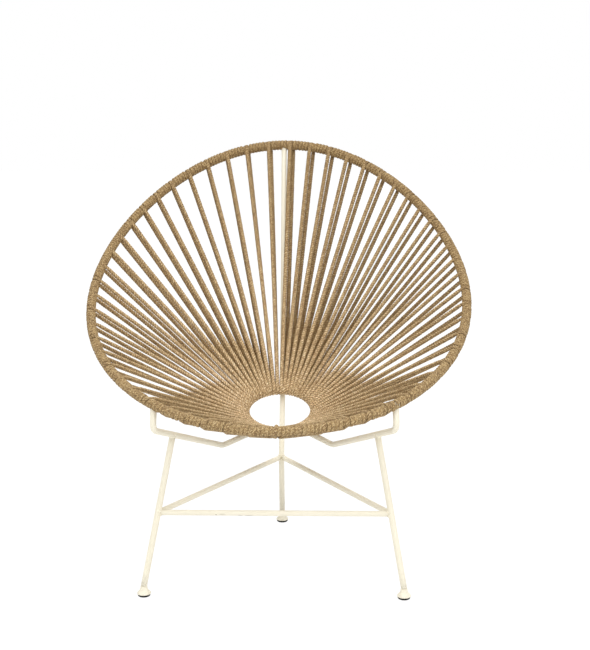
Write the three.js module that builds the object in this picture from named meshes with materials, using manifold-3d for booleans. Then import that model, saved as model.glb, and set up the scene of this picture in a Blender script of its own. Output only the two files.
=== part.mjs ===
// Acapulco chair: an egg-shaped hoop on three legs, corded to a small ring at the seat's bottom.
// Millimetres, +Z up, -Y the front. Left and right (+X) are as seen from the front.
// The origin is on the floor under the middle of the hoop.
import * as THREE from 'three';
import { mergeVertices } from 'three/addons/utils/BufferGeometryUtils.js';
import Module from 'manifold-3d';

const wasm = await Module();
wasm.setup();

// Hoop, on the centre line of its rod
const hoopWidth = 756;
const hoopDepth = 812;
const lipHeight = 359;
const hoopTopHeight = 830;
const hoopRodDiameter = 10;
const straightRiseShare = 0.63;
const eggShare = 0.015;
const fullnessShare = 0.019;

// Cord, and how it goes round the hoop and the ring
const cordDiameter = 7;
const cordPairs = 56;
const pairsPerRun = 4;
const firstCordOffset = 12.9;
const loopAdvance = 8;
const pairPlaces = [
  [0, 0], [23, 23], [33, 32], [34, 33], [38, 36.95], [44, 42.95], [50, 49.4], [55, 55], [56, 56],
];
const pressedCordThickness = 3;
const pressedCordWidth = 7.8;
const cordSpacing = 0.52;
const cordEndGap = 0.7;
const ringCordGap = 0.7;
const rimCordGap = 0.35;

// Cord wound close round the hoop, thinner where the seat's cord crosses it
const windingThickness = 3.1;
const windingGap = 0.4;
const windingSetback = 2.8;
const grooveWall = 1;
const grooveClearance = 2.6;
const grooveSlope = 1;

// Seat ring, on the centre line of its rod
const ringRodDiameter = 10;
const ringSetback = 91;
const ringHeight = 272;
const ringTiltDegrees = 23;

// Rear leg and spine, one bent rod
const legRodDiameter = 12;
const rearFootBack = 144;
const rearKneeBack = 103;
const spineBendRadius = 50;

// Yokes, the bars that carry the hoop and the ring on the front legs
const yokePair = 23;
const yokeDrop = 47;
const yokeOutset = 2;
const yokeForward = 5;
const yokeBendHalfSpacing = 116;
const yokeBendAheadOfRing = 84;
const yokeBendBelowRing = 54;
const yokeRingSlot = 22;
const yokeBendRadius = 16;
const yokePastRing = 3;

// Front legs and stretchers
const footSpacing = 500;
const frontFootForward = 296;
const legTopShare = 0.25;
const stretcherRodDiameter = 10;
const stretcherHeight = 162;

// Feet
const padDiameter = 26;
const padThickness = 4.5;
const capHeight = 15;
const capNeckDiameter = 15;
const capRimDiameter = 25;
const capFlareShares = [[0, 1], [0.15, 1], [0.35, 0.65], [0.6, 0.25], [1, 0]];

// Welds and clearances
const gap = 0.3;
const weldWidth = 1.9;
const weldLength = 4;
const cornerWeldReach = 0.7;
const studDiameter = 7;

// Fineness of the faceted surfaces
const rodSides = 8;
const cordSides = 6;
const bendSteps = 5;
const loopSteps = 4;
const ringStations = 36;
const turnedSides = 16;
const hoopSamples = 4000;

// Sizes that follow from the values above
const hoopRodRadius = hoopRodDiameter / 2;
const ringRodRadius = ringRodDiameter / 2;
const legRodRadius = legRodDiameter / 2;
const stretcherRodRadius = stretcherRodDiameter / 2;
const cordRadius = cordDiameter / 2;
const boreRadius = hoopRodRadius + windingGap;
const grooveRadius = boreRadius + grooveWall;
const windingRadius = boreRadius + windingThickness;
const grooveBefore = pressedCordWidth / 2 + grooveClearance;
const grooveAfter = loopAdvance + grooveBefore;
const rimPathRadius = grooveRadius + rimCordGap + pressedCordThickness / 2;
const ringPathRadius = ringRodRadius + ringCordGap + cordRadius;
const emptySlots = [0, yokeRingSlot];
const ringSlots = cordPairs + 2 * emptySlots.length - 1;
emptySlots.push(ringSlots - yokeRingSlot);
const slotAngle = 2 * Math.PI / ringSlots;
const ringRadius = (cordDiameter + cordSpacing) / slotAngle + ringPathRadius;
const ringTilt = THREE.MathUtils.degToRad(ringTiltDegrees);
const ringCentre = new THREE.Vector3(0, ringSetback, ringHeight);
const barBelowRing = ringPathRadius + cordRadius + gap + legRodRadius + gap;
const capBottom = padThickness + gap;
const legBottom = capBottom + capHeight + gap;
const windingBreak = legRodRadius + gap + weldWidth + windingSetback;
const roundCord = { wide: cordRadius, thick: cordRadius };
const pressedCord = { wide: pressedCordWidth / 2, thick: pressedCordThickness / 2 };

const up = new THREE.Vector3(0, 0, 1);
const tiltAxis = new THREE.Vector3(1, 0, 0);
const sides = [['right', 1], ['left', -1]];

// The hoop, clockwise from its top as seen from the front
class HoopCurve extends THREE.Curve {
  getPoint(share, target = new THREE.Vector3()) {
    const turn = 2 * Math.PI * share;
    const fullness = 1 - eggShare * Math.cos(turn) - fullnessShare * Math.cos(2 * turn);
    const back = (1 + Math.cos(turn)) / 2;
    const rise = straightRiseShare * back + (1 - straightRiseShare) * back * back;
    return target.set(
      hoopWidth / 2 * Math.sin(turn) * fullness,
      hoopDepth / 2 * Math.cos(turn),
      lipHeight + (hoopTopHeight - lipHeight) * rise,
    );
  }
}

const hoopCurve = new HoopCurve();
hoopCurve.arcLengthDivisions = hoopSamples;
const hoopLength = hoopCurve.getLength();
const pairSpacing = hoopLength / cordPairs;

// Where a pair meets the hoop: close between the yokes, wide apart at the upper left
function pairDistance(index) {
  const rounds = Math.floor(index / cordPairs);
  const inRound = index - rounds * cordPairs;
  const after = pairPlaces.findIndex(([pair]) => pair > inRound);
  const [fromPair, fromPlace] = pairPlaces[after - 1];
  const [toPair, toPlace] = pairPlaces[after];
  const place = fromPlace + (toPlace - fromPlace) * (inRound - fromPair) / (toPair - fromPair);
  return firstCordOffset + place * pairSpacing + rounds * hoopLength;
}

// The rod and its winding share one line of chords, which bends midway between the cord's loops
const bends = [];
const bendDistances = [];
for (let index = 0; index < cordPairs; index += 1) {
  const distance = (pairDistance(index) + loopAdvance + pairDistance(index + 1)) / 2;
  bendDistances.push(distance);
  bends.push(hoopCurve.getPointAt(distance / hoopLength % 1));
}

// The hoop's centre line at a distance along it, its tangent and the way into the bowl
function hoopFrame(distance) {
  const rounds = Math.floor((distance - bendDistances[0]) / hoopLength);
  const inRound = distance - rounds * hoopLength;
  const chord = bendDistances.findLastIndex((bend) => bend <= inRound);
  const start = bendDistances[chord];
  const end = bendDistances[chord + 1] ?? bendDistances[0] + hoopLength;
  const share = (inRound - start) / (end - start);
  const centre = bends[chord].clone().lerp(bends[(chord + 1) % cordPairs], share);
  const tangent = hoopCurve.getTangentAt((distance / hoopLength + 1) % 1);
  const normal = ringCentre.clone().sub(centre).cross(tangent).normalize();
  return { centre, tangent, normal };
}

// The ring's centre line and tangent at a number of slots from its rearmost point
function ringFrame(slot) {
  const angle = slot * slotAngle;
  const radial = new THREE.Vector3(Math.sin(angle), Math.cos(angle), 0);
  const tangent = new THREE.Vector3(Math.cos(angle), -Math.sin(angle), 0);
  const centre = radial.applyAxisAngle(tiltAxis, ringTilt).multiplyScalar(ringRadius);
  return { centre: centre.add(ringCentre), tangent: tangent.applyAxisAngle(tiltAxis, ringTilt) };
}

// The straight way between a slot of the ring and a place on the hoop
function webFrame(slot, distance) {
  const ring = ringFrame(slot);
  const hoop = hoopFrame(distance);
  const inward = ring.centre.clone().sub(hoop.centre).normalize();
  const normal = inward.clone().cross(ring.tangent).normalize();
  const reach = ring.tangent.clone().cross(normal);
  return { ring, hoop, inward, normal, reach };
}

function along(start, ...moves) {
  const point = start.clone();
  for (const [direction, distance] of moves) {
    point.addScaledVector(direction, distance);
  }
  return point;
}

// The way through a station, midway between the ways before and after it
function stationWay(stations, index, closed) {
  const count = stations.length;
  const here = stations[index].centre;
  const way = new THREE.Vector3();
  if (closed || index > 0) {
    way.add(here.clone().sub(stations[(index + count - 1) % count].centre).normalize());
  }
  if (closed || index < count - 1) {
    way.add(stations[(index + 1) % count].centre.clone().sub(here).normalize());
  }
  return way.normalize();
}

// A solid tube through stations, each with a centre, an up direction and two half sizes
function tube(stations, sideCount, closed = false) {
  const positions = [];
  const faces = [];
  stations.forEach((station, index) => {
    const way = station.way ?? stationWay(stations, index, closed);
    const across = station.up.clone().cross(way).normalize();
    const top = way.clone().cross(across);
    for (let side = 0; side < sideCount; side += 1) {
      const angle = side * 2 * Math.PI / sideCount;
      const wide = station.wide * Math.cos(angle);
      const thick = station.thick * Math.sin(angle);
      const point = along(station.centre, [across, wide], [top, thick]);
      if (station.level !== undefined) {
        point.addScaledVector(way, (station.level - point.z) / way.z);
      }
      positions.push(...point);
    }
  });
  const spans = closed ? stations.length : stations.length - 1;
  for (let span = 0; span < spans; span += 1) {
    const near = span * sideCount;
    const far = (span + 1) % stations.length * sideCount;
    for (let side = 0; side < sideCount; side += 1) {
      const other = (side + 1) % sideCount;
      faces.push(near + side, near + other, far + other);
      faces.push(near + side, far + other, far + side);
    }
  }
  if (!closed) {
    const last = (stations.length - 1) * sideCount;
    for (let side = 1; side < sideCount - 1; side += 1) {
      faces.push(0, side + 1, side);
      faces.push(last, last + side, last + side + 1);
    }
  }
  const geometry = new THREE.BufferGeometry();
  geometry.setAttribute('position', new THREE.Float32BufferAttribute(positions, 3));
  geometry.setIndex(faces);
  return geometry;
}

// A round bar through corners that are bent to a radius; it can be cut level at its start
function rod(corners, radius, bendRadius = 0, level) {
  const line = [corners[0]];
  corners.slice(1, -1).forEach((corner, index) => {
    const before = corner.clone().sub(corners[index]).normalize();
    const after = corners[index + 2].clone().sub(corner).normalize();
    const setback = bendRadius * Math.tan(before.angleTo(after) / 2);
    const bend = new THREE.QuadraticBezierCurve3(
      along(corner, [before, -setback]),
      corner,
      along(corner, [after, setback]),
    );
    line.push(...bend.getPoints(bendSteps));
  });
  line.push(corners[corners.length - 1]);
  const stations = line.map((centre) => ({ centre, wide: radius, thick: radius }));
  let way = stationWay(stations, 0);
  const reference = Math.abs(way.z) > Math.abs(way.x) ? tiltAxis : up;
  let guide = reference.clone().projectOnPlane(way).normalize();
  stations.forEach((station, index) => {
    const next = stationWay(stations, index);
    guide = guide.clone().applyQuaternion(new THREE.Quaternion().setFromUnitVectors(way, next));
    way = next;
    station.way = way;
    station.up = guide;
  });
  stations[0].level = level;
  return tube(stations, rodSides);
}

function toSolid(geometry) {
  const plain = geometry.clone();
  plain.deleteAttribute('normal');
  plain.deleteAttribute('uv');
  const merged = mergeVertices(plain);
  const vertProperties = merged.getAttribute('position').array;
  const triVerts = new Uint32Array(merged.getIndex().array);
  return new wasm.Manifold(new wasm.Mesh({ numProp: 3, vertProperties, triVerts }));
}

function cut(geometry, ...cutters) {
  let solid = toSolid(geometry);
  for (const cutter of cutters) {
    solid = solid.subtract(toSolid(cutter));
  }
  const { vertProperties, triVerts } = solid.getMesh();
  const result = new THREE.BufferGeometry();
  result.setAttribute('position', new THREE.Float32BufferAttribute(vertProperties, 3));
  result.setIndex([...triVerts]);
  return result;
}

const frameFinish = { color: 0xf3ead2, roughness: 0.42, metalness: 0 };
const cordFinish = { color: 0xb08f62, roughness: 0.85, metalness: 0 };
const padFinish = { color: 0x1c1c1c, roughness: 0.7, metalness: 0 };

const chair = new THREE.Group();

function addPiece(name, geometry, finish) {
  geometry.computeVertexNormals();
  const mesh = new THREE.Mesh(geometry, new THREE.MeshStandardMaterial(finish));
  mesh.name = name;
  chair.add(mesh);
}

// A tube of one radius that follows the hoop through given distances
function alongHoop(marks, closed = false) {
  const stations = marks.map(([distance, radius]) => {
    const { centre, tangent, normal } = hoopFrame(distance);
    return { centre, way: tangent, up: normal, wide: radius, thick: radius };
  });
  return tube(stations, rodSides, closed);
}

function hoopTube(radius) {
  return alongHoop(bendDistances.map((distance) => [distance, radius]), true);
}

function ringTube(radius) {
  const flatUp = up.clone().applyAxisAngle(tiltAxis, ringTilt);
  const stations = [];
  for (let index = 0; index < ringStations; index += 1) {
    const { centre, tangent } = ringFrame(index * ringSlots / ringStations);
    stations.push({ centre, way: tangent, up: flatUp, wide: radius, thick: radius });
  }
  return tube(stations, rodSides, true);
}

// The cord wound round the hoop from one weld to the next
function windingBetween(start, end) {
  const marks = [];
  for (let index = -1; index <= cordPairs; index += 1) {
    const low = pairDistance(index) - grooveBefore;
    const high = pairDistance(index) + grooveAfter;
    marks.push([low - grooveSlope, windingRadius], [low, grooveRadius]);
    marks.push([high, grooveRadius], [high + grooveSlope, windingRadius]);
  }
  const inside = marks.filter(([distance]) => distance > start && distance < end);
  const firstRadius = inside[0][1];
  const lastRadius = inside[inside.length - 1][1];
  const outside = alongHoop([[start, firstRadius], ...inside, [end, lastRadius]]);
  const boreStart = start - windingBreak;
  const boreEnd = end + windingBreak;
  const inner = bendDistances.filter((distance) => distance > boreStart && distance < boreEnd);
  const bore = [boreStart, ...inner, boreEnd];
  return cut(outside, alongHoop(bore.map((distance) => [distance, boreRadius])));
}

// Ring slots that hold cord, in order round the ring
const cordSlots = [];
for (let slot = 0; slot < ringSlots; slot += 1) {
  if (!emptySlots.includes(slot)) {
    cordSlots.push(slot);
  }
}

// The cord's half loop round the inner side of the ring, from under it to the top of it
function loopRoundRing(index, startTurn) {
  const fromSlot = index > 0 ? cordSlots[index - 1] : cordSlots[cordPairs - 1] - ringSlots;
  const toSlot = cordSlots[index] - 1 / 2;
  const toDistance = pairDistance(index);
  const fromDistance = pairDistance(index - 1) + loopAdvance;
  const stations = [];
  for (let step = 0; step <= loopSteps; step += 1) {
    const share = step / loopSteps;
    const turn = THREE.MathUtils.lerp(startTurn, Math.PI, share);
    const slot = THREE.MathUtils.lerp(fromSlot, toSlot, share);
    const frame = webFrame(slot, THREE.MathUtils.lerp(fromDistance, toDistance, share));
    const out = along(new THREE.Vector3(), [frame.normal, -Math.cos(turn)], [frame.reach, Math.sin(turn)]);
    const centre = along(frame.ring.centre, [out, ringPathRadius]);
    stations.push({ centre, up: out, reach: frame.reach, ...roundCord });
  }
  return stations;
}

// The cord's half loop round the outer side of the hoop, pressed flat, from inside the bowl
function loopRoundHoop(index) {
  const stations = [];
  for (let step = 0; step <= loopSteps; step += 1) {
    const share = step / loopSteps;
    const turn = Math.PI * share;
    const distance = pairDistance(index) + loopAdvance * share;
    const { centre, tangent, normal } = hoopFrame(distance);
    const outward = normal.clone().cross(tangent).normalize();
    const out = along(new THREE.Vector3(), [normal, Math.cos(turn)], [outward, Math.sin(turn)]);
    stations.push({ centre: along(centre, [out, rimPathRadius]), up: out, ...pressedCord });
  }
  return stations;
}

// A round station on a strand, just clear of the hoop's winding
function besideHoop(onHoop, onRing) {
  const way = onRing.clone().sub(onHoop.centre).normalize();
  return { centre: along(onHoop.centre, [way, windingRadius + gap]), up: onHoop.up, ...roundCord };
}

// One unbroken length of cord, ring to hoop and back for each of its pairs
function cordRun(firstPair) {
  const stations = [];
  for (let index = firstPair; index < firstPair + pairsPerRun; index += 1) {
    const isFirst = index === firstPair;
    const startTurn = isFirst ? cordEndGap / ringPathRadius : 0;
    const onRing = loopRoundRing(index, startTurn);
    if (isFirst) {
      onRing[0].way = onRing[0].reach;
    } else {
      onRing.shift();
    }
    const onHoop = loopRoundHoop(index);
    const back = webFrame(cordSlots[index], pairDistance(index) + loopAdvance);
    const landing = along(back.ring.centre, [back.normal, -ringPathRadius]);
    stations.push(...onRing);
    stations.push(besideHoop(onHoop[0], onRing[onRing.length - 1].centre));
    stations.push(...onHoop);
    stations.push(besideHoop(onHoop[loopSteps], landing));
    stations.push({ centre: landing, up: back.normal.clone().negate(), ...roundCord });
    stations[stations.length - 1].reach = back.reach;
  }
  stations[stations.length - 1].way = stations[stations.length - 1].reach;
  return stations;
}

// The least gap between turns of one length of cord, measured from point to point
function leastGap(stations) {
  let least = Infinity;
  stations.forEach((station, index) => {
    for (const other of stations.slice(index + loopSteps + 2)) {
      const between = station.centre.distanceTo(other.centre) - station.wide - other.wide;
      least = Math.min(least, between);
    }
  });
  return least;
}

// Hoop, ring and what carries the ring
const hoopClear = hoopTube(hoopRodRadius + gap);
const ringClear = ringTube(ringRodRadius + gap);
addPiece('hoop_rod', hoopTube(hoopRodRadius), frameFinish);
addPiece('seat_ring_rod', ringTube(ringRodRadius), frameFinish);

// A collar of weld round a bar where it meets another
function weldCollar(joint, away, jointRadius, ...cutters) {
  const start = along(joint, [away, jointRadius / 2]);
  const end = along(joint, [away, jointRadius + weldLength]);
  return cut(rod([start, end], legRodRadius + weldWidth), ...cutters);
}

// A stud of weld between two cords, from the ring to the bar that passes under it
function ringStud(frame, barClear) {
  const bottom = along(frame.ring.centre, [frame.normal, -barBelowRing]);
  return cut(rod([frame.ring.centre, bottom], studDiameter / 2), ringClear, barClear);
}

const spineWay = webFrame(0, 0);
const spineUnderRing = along(spineWay.ring.centre, [spineWay.normal, -barBelowRing]);
const knee = new THREE.Vector3(0, rearKneeBack, stretcherHeight);
const rearFoot = new THREE.Vector3(0, rearFootBack, legBottom);
const spineDown = spineUnderRing.clone().sub(spineWay.hoop.centre).normalize();
const spineTop = along(spineWay.hoop.centre, [spineDown, hoopRodRadius / 2]);
const spineCorners = [rearFoot, knee, spineUnderRing, spineTop];
const spine = rod(spineCorners, legRodRadius, spineBendRadius, legBottom);
const clearCorners = [rearFoot, knee, spineUnderRing, spineWay.hoop.centre];
const spineClear = rod(clearCorners, legRodRadius + gap, spineBendRadius);
const spineCollar = weldCollar(spineWay.hoop.centre, spineDown, hoopRodRadius, spineClear, hoopClear);
addPiece('rear_leg_and_spine', cut(spine, hoopClear), frameFinish);
addPiece('weld_spine_hoop', spineCollar, frameFinish);
addPiece('weld_spine_ring', ringStud(spineWay, spineClear), frameFinish);

// Yokes and front legs
const legs = {};
for (const [sideName, side] of sides) {
  const hoopDistance = side > 0 ? yokePair * pairSpacing : hoopLength - yokePair * pairSpacing;
  const onHoop = hoopFrame(hoopDistance).centre;
  const outerBend = along(onHoop, [tiltAxis, side * yokeOutset], [up, -yokeDrop]);
  outerBend.y -= yokeForward;
  const innerBend = new THREE.Vector3(
    side * yokeBendHalfSpacing,
    ringSetback - yokeBendAheadOfRing,
    ringHeight - yokeBendBelowRing,
  );
  const slot = side > 0 ? yokeRingSlot : ringSlots - yokeRingSlot;
  const ringJoint = webFrame(slot, hoopDistance);
  const underRing = along(ringJoint.ring.centre, [ringJoint.normal, -barBelowRing]);
  const inward = underRing.clone().sub(innerBend).normalize();
  const innerEnd = along(underRing, [inward, yokePastRing]);
  const down = outerBend.clone().sub(onHoop).normalize();
  const outerEnd = along(onHoop, [down, hoopRodRadius / 2]);
  const yoke = rod([outerEnd, outerBend, innerBend, innerEnd], legRodRadius, yokeBendRadius);
  const clearEnd = along(innerEnd, [inward, gap]);
  const yokeLine = [onHoop, outerBend, innerBend, clearEnd];
  const yokeClear = rod(yokeLine, legRodRadius + gap, yokeBendRadius);
  const hoopCollar = weldCollar(onHoop, down, hoopRodRadius, yokeClear, hoopClear);
  addPiece(`yoke_${sideName}`, cut(yoke, hoopClear), frameFinish);
  addPiece(`weld_yoke_hoop_${sideName}`, hoopCollar, frameFinish);
  addPiece(`weld_yoke_ring_${sideName}`, ringStud(ringJoint, yokeClear), frameFinish);

  const foot = new THREE.Vector3(side * footSpacing / 2, -frontFootForward, legBottom);
  const onYoke = outerBend.clone().lerp(innerBend, legTopShare);
  const legDown = foot.clone().sub(onYoke).normalize();
  const leg = rod([foot, onYoke], legRodRadius, 0, legBottom);
  const legClear = rod([foot, onYoke], legRodRadius + gap);
  const legCollar = weldCollar(onYoke, legDown, legRodRadius, legClear, yokeClear);
  addPiece(`front_leg_${sideName}`, cut(leg, yokeClear), frameFinish);
  addPiece(`weld_leg_yoke_${sideName}`, legCollar, frameFinish);
  const corner = foot.clone().lerp(onYoke, (stretcherHeight - foot.z) / (onYoke.z - foot.z));
  legs[sideName] = { corner, legClear, legWay: legDown, foot };
}

// The middle of the rear leg's bend, where the side stretchers end
const kneeDown = rearFoot.clone().sub(knee).normalize();
const kneeUp = spineUnderRing.clone().sub(knee).normalize();
const bendInward = kneeDown.clone().add(kneeUp).normalize();
const bendRise = spineBendRadius * (1 / Math.sin(kneeDown.angleTo(kneeUp) / 2) - 1);
const rearCorner = along(knee, [bendInward, bendRise]);
const rearLegWay = kneeUp.clone().sub(kneeDown).normalize();

// Stretchers, a level triangle between the legs
const frontEnds = [legs.left.corner, legs.right.corner];
const frontClear = rod(frontEnds, stretcherRodRadius + gap);
const frontBar = rod(frontEnds, stretcherRodRadius);
addPiece('stretcher_front', cut(frontBar, legs.left.legClear, legs.right.legClear), frameFinish);
const stretcherClears = [frontClear];
for (const [sideName, side] of sides) {
  const { corner, legClear } = legs[sideName];
  const bar = rod([corner, rearCorner], stretcherRodRadius);
  const otherHalf = new THREE.BoxGeometry(footSpacing, hoopDepth, hoopTopHeight);
  otherHalf.translate(side * (gap - footSpacing) / 2, 0, stretcherHeight);
  addPiece(`stretcher_${sideName}`, cut(bar, legClear, frontClear, spineClear, otherHalf), frameFinish);
  stretcherClears.push(rod([corner, rearCorner], stretcherRodRadius + gap));
}

// Welds where stretchers meet a leg, each wide enough to close above and below their ends
function cornerWeld(corner, legWay, stretcherWays, legClear) {
  const legClearRadius = legRodRadius + gap;
  const slant = Math.max(...stretcherWays.map((way) => Math.abs(way.dot(legWay))));
  const holeReach = stretcherRodRadius + gap + legClearRadius * slant;
  const weldReach = holeReach / Math.sqrt(1 - slant * slant) + cornerWeldReach;
  const radius = Math.hypot(legClearRadius, weldReach);
  const ball = new THREE.SphereGeometry(radius, turnedSides, rodSides);
  ball.translate(...corner);
  return cut(ball, legClear, ...stretcherClears);
}

const backWays = [];
for (const [sideName] of sides) {
  const { corner, legClear, legWay } = legs[sideName];
  const backWay = rearCorner.clone().sub(corner).normalize();
  backWays.push(backWay);
  const weld = cornerWeld(corner, legWay, [tiltAxis, backWay], legClear);
  addPiece(`weld_corner_${sideName}`, weld, frameFinish);
}
addPiece('weld_corner_rear', cornerWeld(rearCorner, rearLegWay, backWays, spineClear), frameFinish);

// A solid turned about the upright line through a foot
function turned(profile, foot) {
  const points = profile.map(([radius, height]) => new THREE.Vector2(radius, height));
  const geometry = new THREE.LatheGeometry(points, turnedSides);
  return geometry.rotateX(Math.PI / 2).translate(foot.x, foot.y, 0);
}

function footCap(foot) {
  const neck = capNeckDiameter / 2;
  const flare = capRimDiameter / 2 - neck;
  const outline = capFlareShares.map(([heightShare, flareShare]) => [
    neck + flare * flareShare,
    capBottom + capHeight * heightShare,
  ]);
  return turned([[0, capBottom], ...outline, [0, capBottom + capHeight]], foot);
}

function footPad(foot) {
  const radius = padDiameter / 2;
  return turned([[0, 0], [radius, 0], [radius, padThickness], [0, padThickness]], foot);
}

const feet = { right: legs.right.foot, left: legs.left.foot, rear: rearFoot };
for (const [footName, foot] of Object.entries(feet)) {
  addPiece(`foot_cap_${footName}`, footCap(foot), frameFinish);
  addPiece(`foot_pad_${footName}`, footPad(foot), padFinish);
}

// Cord wound on the hoop, in the three stretches between the welds
const rightWeld = yokePair * pairSpacing;
const leftWeld = hoopLength - rightWeld;
const windings = [
  ['rim_winding_right', 0, rightWeld],
  ['rim_winding_front', rightWeld, leftWeld],
  ['rim_winding_left', leftWeld, hoopLength],
];
for (const [name, start, end] of windings) {
  addPiece(name, windingBetween(start + windingBreak, end - windingBreak), cordFinish);
}

// The seat's cord
let smallestGap = Infinity;
for (let firstPair = 0; firstPair < cordPairs; firstPair += pairsPerRun) {
  const stations = cordRun(firstPair);
  const number = String(firstPair / pairsPerRun + 1).padStart(2, '0');
  addPiece(`seat_cord_${number}`, tube(stations, cordSides), cordFinish);
  smallestGap = Math.min(smallestGap, leastGap(stations));
}
console.log(`least gap between turns of a cord: ${smallestGap.toFixed(2)} mm`);

export default chair;
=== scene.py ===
"""Acapulco chair: a twisted tan cord strung from an egg-shaped hoop to a seat ring,
on a cream painted wire frame with flared foot caps. Metres, +Z up, -Y the front."""
import math

import bmesh
import bpy
import numpy as np
from mathutils import Euler, Matrix, Vector


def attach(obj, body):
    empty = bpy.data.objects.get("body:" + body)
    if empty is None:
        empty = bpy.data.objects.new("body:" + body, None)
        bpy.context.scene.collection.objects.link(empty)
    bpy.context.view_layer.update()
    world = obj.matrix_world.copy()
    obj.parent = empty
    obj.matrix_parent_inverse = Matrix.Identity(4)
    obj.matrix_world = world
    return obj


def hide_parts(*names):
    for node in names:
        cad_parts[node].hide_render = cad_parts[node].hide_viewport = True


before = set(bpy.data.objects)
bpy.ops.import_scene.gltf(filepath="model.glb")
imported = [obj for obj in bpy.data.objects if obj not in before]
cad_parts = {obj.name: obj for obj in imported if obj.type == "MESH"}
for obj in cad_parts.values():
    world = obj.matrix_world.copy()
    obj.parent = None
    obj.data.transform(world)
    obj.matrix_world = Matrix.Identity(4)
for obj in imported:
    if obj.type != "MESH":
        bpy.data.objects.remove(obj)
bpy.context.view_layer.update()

# Photograph
PHOTO_HEIGHT_PX = 650
FOCAL_LENGTH_PX = 1290
CAMERA_PLACE = Vector((0.1068, -2.6377, 0.9678))
CAMERA_PITCH = math.radians(10.53)
CAMERA_YAW = math.radians(1.609)

# Hoop and ring, as in the solid model
HOOP_WIDTH = 0.756
HOOP_DEPTH = 0.812
LIP_HEIGHT = 0.359
HOOP_TOP = 0.830
STRAIGHT_RISE_SHARE = 0.63
EGG_SHARE = 0.015
FULLNESS_SHARE = 0.019
HOOP_SAMPLES = 4001
HOOP_ROD_RADIUS = 0.005
RING_ROD_RADIUS = 0.005
RING_RADIUS = 0.0798
RING_CENTRE = Vector((0, 0.091, 0.272))
RING_TILT = math.radians(23)

# Cord, as in the solid model
PAIRS = 56
PAIRS_PER_RUN = 4
EMPTY_SLOTS = (0, 22, 37)
RING_SLOTS = PAIRS + len(EMPTY_SLOTS)
CORD_SLOTS = [slot for slot in range(RING_SLOTS) if slot not in EMPTY_SLOTS]
FIRST_OFFSET = 0.0129
PAIR_PLACES = (
    (0, 0), (23, 23), (33, 32), (34, 33), (38, 36.95), (44, 42.95), (50, 49.4), (55, 55), (56, 56),
)
YOKE_PAIR = 23

# The cord and its twist
CORD_RADIUS = 0.0042
PLIES = 3
CORD_SIDES = 12
LAY_LENGTH = 0.0168
RINGS_PER_LAY = 10
PLY_GROOVE_SHARE = 0.21
PLY_ROUNDNESS = 0.6
WOUND_GROOVE_SHARE = 0.10
WOUND_FLATNESS = 4.0
ROUTE_STEP = 0.001
ROUTE_SMOOTHING = 0.004
PATTERN_OFFSET = 7.3
FIRST_WINDING_SEED = 20

# How the seat's cord lies on the ring and the hoop in the photograph
RING_SHIFT = Vector((-0.003, 0, 0))
SPINE_TOP_SHIFT = Vector((-0.004, 0, 0))
RING_PATH_RADIUS = 0.0092
RING_PATH_REACH = 0.0114
RING_HALF_WIDTH = 0.0043
RING_INNER_HALF_WIDTH = 0.0038
RING_HALF_THICKNESS = 0.0041
INNER_LEAD_SLOTS = 0.25
UNDER_LEAD_SLOTS = 0.15
CROWD_RUN = (0, 0.03, 0.08, 0.17)
CROWD_HALF_WIDTHS = (RING_HALF_WIDTH, 0.0047, 0.0050)
STRAND_HALF_WIDTHS = (
    (0, 0.0049), (5, 0.0047), (10, 0.0042), (42, 0.0042), (48, 0.0045), (56, 0.0048),
)
STRAND_STEPS = 26
STRAND_WANDER = 0.00035
LOOP_STEPS = 12
LOOP_RISE = -0.0002
LOOP_HALF_WIDTH = 0.0047
LOOP_HALF_THICKNESS = 0.0012
LOOP_PRESS_REACH = 0.011

# The cord wound on the hoop, pressed thinner under each loop
WINDING_RADIUS_TOP = 0.0114
WINDING_RADIUS_FRONT = 0.0097
WINDING_RADIUS_SIDE = 0.0100
WINDING_PITCH = 0.0074
WINDING_HALF_WIDTH = 0.0038
WINDING_CLEARANCE = 0.0001
WINDING_START = math.pi / 2
STEPS_PER_TURN = 18
PRESS_HALF_WIDTH = 0.004
PRESS_FADE = 0.003
PRESS_OVERRUN = 0.3
PRESS_OVERRUN_FADE = 0.4
YOKE_GAPS = {"right": 0.0014, "left": 0.0}

# Painted light and shade on the cord: by metres from the ring, and by pair
RING_SHADE = 1.74
SHADE_RUN = (0, 0.12, 0.30, 0.55)
SHADES = (RING_SHADE, 1.56, 1.22, 0.97)
BACK_SHADES = (1.05, 1.0, 1.0, 0.97)
RIM_SHADES = ((0, 0.82), (14, 0.86), (23, 1.0), (28, 1.04), (33, 1.0), (42, 0.88), (56, 0.82))
STRAND_SHADES = (
    (0, 0.97), (8, 1.03), (14, 1.12), (23, 1.10), (33, 1.08), (39, 1.20), (44, 1.20), (50, 1.02),
    (56, 0.97),
)
# The painted light and shade also shift the cord's hue: green and blue change faster than red
GREEN_POWER = 1.155
BLUE_POWER = 1.55
# Painted shade on the cord's flanks, where strands meet their neighbours
FLANK_PAINTED_SHADE = 0.38

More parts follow.
